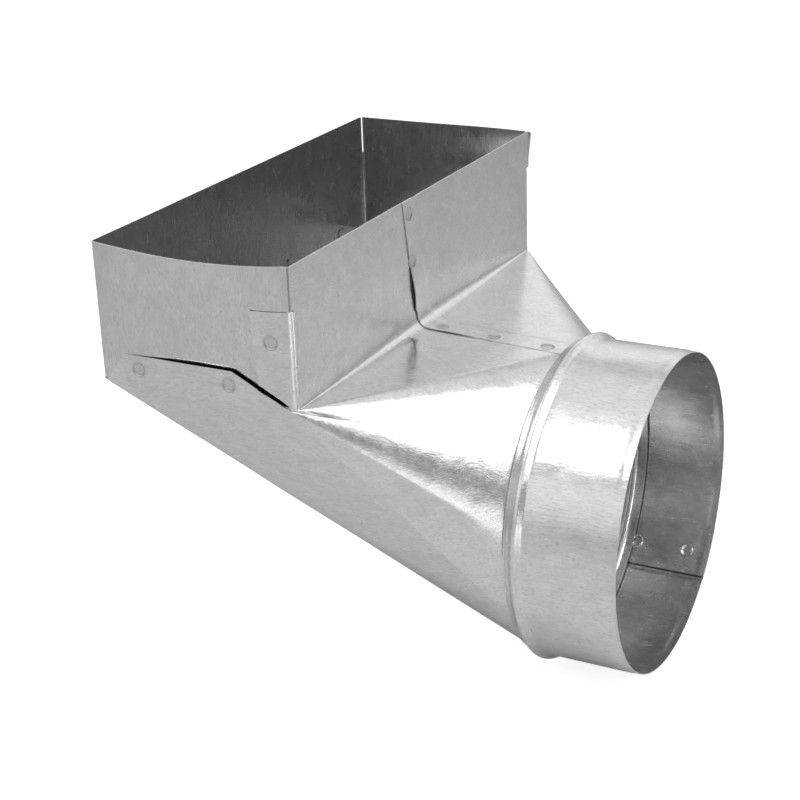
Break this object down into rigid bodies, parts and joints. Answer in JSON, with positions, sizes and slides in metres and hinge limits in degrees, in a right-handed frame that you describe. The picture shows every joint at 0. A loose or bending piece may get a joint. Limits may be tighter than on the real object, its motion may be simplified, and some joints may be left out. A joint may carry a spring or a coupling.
{
  "type": "angle register boot",
  "caption": "Right-angle duct boot in thin galvanised sheet, turning a long rectangular register box to a beaded round collar.",
  "frame": {"origin": "centre of the round collar's mouth", "axes": "+Y along the duct axis from the collar's mouth back to the box, +Z from the duct axis up to the box's open rim, +X along the box's long side"},
  "size_m": [0.2608, 0.2286, 0.2221],
  "materials": {
    "galvanised_sheet": "hot-dip zinc coat with a faint spangle, slightly dulled"
  },
  "bodies": {
    "root": {"box_sheet": "galvanised_sheet", "left_shell": "galvanised_sheet", "right_shell": "galvanised_sheet", "collar": "galvanised_sheet"}
  },
  "joints": []
}
